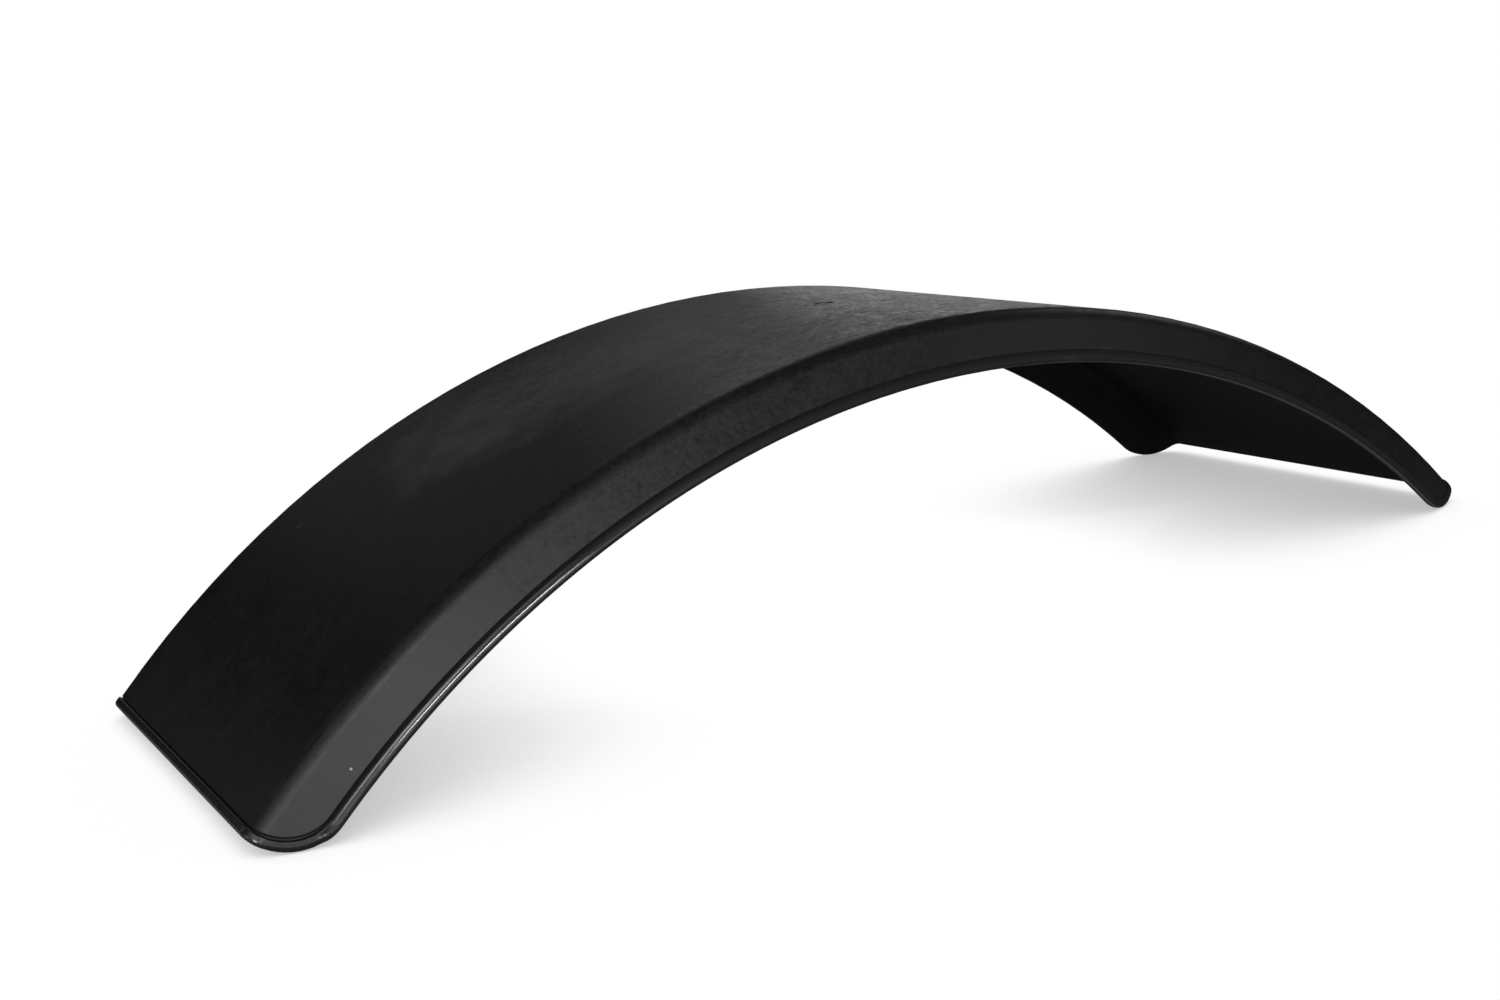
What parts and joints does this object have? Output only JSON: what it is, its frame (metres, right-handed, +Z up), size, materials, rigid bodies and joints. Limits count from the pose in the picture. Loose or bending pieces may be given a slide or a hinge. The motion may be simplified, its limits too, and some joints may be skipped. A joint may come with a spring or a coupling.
{
  "type": "agricultural mudguard",
  "caption": "Arched one-piece plastic mudguard with a flat top, rounded shoulders, short flared side aprons, round lower corners and a raised bead along its whole rim; shields a wheel.",
  "frame": {"origin": "centre of the footprint, on the surface that the four rounded corners stand on", "axes": "+X along the arch from end to end, +Y across its width, +Z up through the crown"},
  "size_m": [0.901, 0.318, 0.2014],
  "materials": {
    "black_plastic": "matt black moulded plastic with a fine grain, slightly glossier on the bead"
  },
  "bodies": {
    "root": {"mudguard_shell": "black_plastic"}
  },
  "joints": []
}
